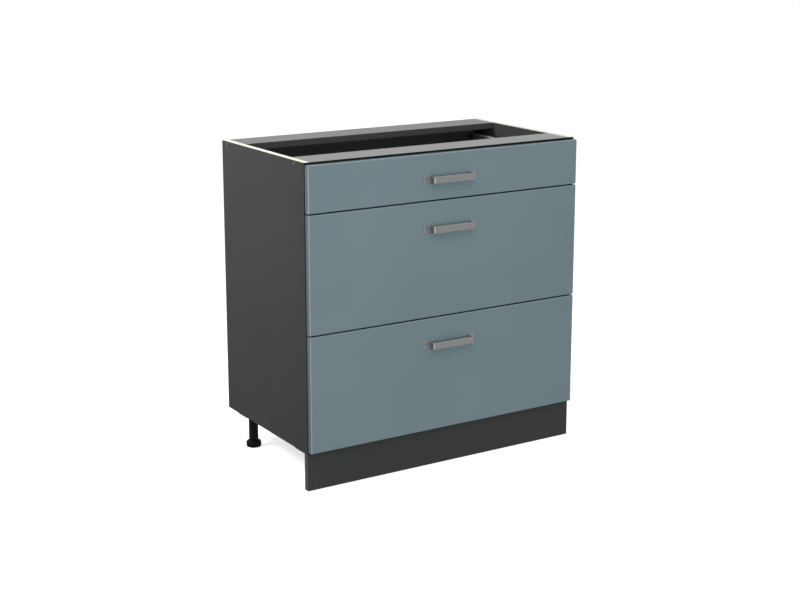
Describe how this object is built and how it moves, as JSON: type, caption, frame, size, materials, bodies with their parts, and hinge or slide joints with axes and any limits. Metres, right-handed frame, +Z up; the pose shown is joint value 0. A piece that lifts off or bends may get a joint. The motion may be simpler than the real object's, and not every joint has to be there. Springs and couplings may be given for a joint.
{
  "type": "base cabinet with drawers",
  "caption": "Kitchen base cabinet on levelling legs with a plinth, a shallow top drawer above deep drawers, strip handles and full-extension runners.",
  "frame": {"origin": "on the floor, under the middle of the cabinet's outline with its drawers shut, handles and screw caps included", "axes": "+Z up, the drawers open towards -Y, +X to the right of someone who faces the fronts"},
  "size_m": [0.8032, 0.48, 0.816],
  "materials": {
    "front_finish": "blue-grey lacquered board, satin gloss",
    "carcass_board": "anthracite melamine-faced chipboard",
    "plinth_finish": "anthracite melamine-faced board",
    "back_hardboard": "dark hardboard",
    "drawer_board": "anthracite melamine-faced board with a linen grain",
    "dowel_wood": "beech",
    "handle_steel": "stainless look, brushed",
    "drawer_steel": "anthracite powder coat",
    "runner_steel": "zinc-plated sheet",
    "screw_steel": "zinc-plated",
    "cast_zinc": "die-cast zinc",
    "cap_plastic": "anthracite cap",
    "leg_plastic": "black moulded plastic",
    "bumper_rubber": "clear soft dot",
    "cage_plastic": "natural moulded plastic"
  },
  "bodies": {
    "carcass": {"side_panel_right": "carcass_board", "side_panel_left": "carcass_board", "bottom_panel": "carcass_board", "top_rail_front": "carcass_board", "top_rail_rear": "carcass_board", "back_panel": "back_hardboard", "carcass_dowels": "dowel_wood", "carcass_rail_screws": "screw_steel", "carcass_screw_caps": "cap_plastic", "carcass_cam_fittings": "cast_zinc", "leg_plates": "leg_plastic", "leg_tubes": "leg_plastic", "plinth_board": "plinth_finish", "plinth_clips": "leg_plastic", "hardware_screws": "screw_steel", "runner_cabinet_members": "runner_steel"},
    "top_drawer": {"top_drawer_front": "front_finish", "top_drawer_handle": "handle_steel", "top_drawer_screws": "screw_steel", "top_drawer_side_right": "drawer_steel", "top_drawer_side_left": "drawer_steel", "top_drawer_bottom": "drawer_board", "top_drawer_back": "drawer_board", "top_drawer_brackets": "drawer_steel", "top_drawer_bumpers": "bumper_rubber", "top_drawer_runner_inner_members": "runner_steel"},
    "top_runner_middle": {"top_drawer_runner_middle_members": "runner_steel", "top_drawer_runner_cages": "cage_plastic"},
    "middle_drawer": {"middle_drawer_front": "front_finish", "middle_drawer_handle": "handle_steel", "middle_drawer_screws": "screw_steel", "middle_drawer_side_right": "drawer_steel", "middle_drawer_side_left": "drawer_steel", "middle_drawer_bottom": "drawer_board", "middle_drawer_back": "drawer_board", "middle_drawer_brackets": "drawer_steel", "middle_drawer_bumpers": "bumper_rubber", "middle_drawer_runner_inner_members": "runner_steel", "middle_drawer_gallery_rails": "drawer_steel"},
    "middle_runner_middle": {"middle_drawer_runner_middle_members": "runner_steel", "middle_drawer_runner_cages": "cage_plastic"},
    "bottom_drawer": {"bottom_drawer_front": "front_finish", "bottom_drawer_handle": "handle_steel", "bottom_drawer_screws": "screw_steel", "bottom_drawer_side_right": "drawer_steel", "bottom_drawer_side_left": "drawer_steel", "bottom_drawer_bottom": "drawer_board", "bottom_drawer_back": "drawer_board", "bottom_drawer_brackets": "drawer_steel", "bottom_drawer_bumpers": "bumper_rubber", "bottom_drawer_runner_inner_members": "runner_steel", "bottom_drawer_gallery_rails": "drawer_steel"},
    "bottom_runner_middle": {"bottom_drawer_runner_middle_members": "runner_steel", "bottom_drawer_runner_cages": "cage_plastic"},
    "foot_front_right": {"foot_front_right": "leg_plastic"},
    "foot_front_left": {"foot_front_left": "leg_plastic"},
    "foot_rear_right": {"foot_rear_right": "leg_plastic"},
    "foot_rear_left": {"foot_rear_left": "leg_plastic"}
  },
  "joints": [
    {"name": "top_drawer_slide", "type": "slide", "parent": "carcass", "child": "top_drawer", "axis": [0, -1, 0], "range_m": [0, 0.4]},
    {"name": "top_runner_slide", "type": "slide", "parent": "carcass", "child": "top_runner_middle", "axis": [0, -1, 0], "range_m": [0, 0.2]},
    {"name": "middle_drawer_slide", "type": "slide", "parent": "carcass", "child": "middle_drawer", "axis": [0, -1, 0], "range_m": [0, 0.4]},
    {"name": "middle_runner_slide", "type": "slide", "parent": "carcass", "child": "middle_runner_middle", "axis": [0, -1, 0], "range_m": [0, 0.2]},
    {"name": "bottom_drawer_slide", "type": "slide", "parent": "carcass", "child": "bottom_drawer", "axis": [0, -1, 0], "range_m": [0, 0.4]},
    {"name": "bottom_runner_slide", "type": "slide", "parent": "carcass", "child": "bottom_runner_middle", "axis": [0, -1, 0], "range_m": [0, 0.2]},
    {"name": "foot_front_right_screw", "type": "slide", "parent": "carcass", "child": "foot_front_right", "axis": [0, 0, -1], "range_m": [0, 0.025]},
    {"name": "foot_front_left_screw", "type": "slide", "parent": "carcass", "child": "foot_front_left", "axis": [0, 0, -1], "range_m": [0, 0.025]},
    {"name": "foot_rear_right_screw", "type": "slide", "parent": "carcass", "child": "foot_rear_right", "axis": [0, 0, -1], "range_m": [0, 0.025]},
    {"name": "foot_rear_left_screw", "type": "slide", "parent": "carcass", "child": "foot_rear_left", "axis": [0, 0, -1], "range_m": [0, 0.025]}
  ],
  "couplings": [
    {"joint": "top_runner_slide", "follows": "top_drawer_slide", "ratio": 0.5},
    {"joint": "middle_runner_slide", "follows": "middle_drawer_slide", "ratio": 0.5},
    {"joint": "bottom_runner_slide", "follows": "bottom_drawer_slide", "ratio": 0.5}
  ]
}
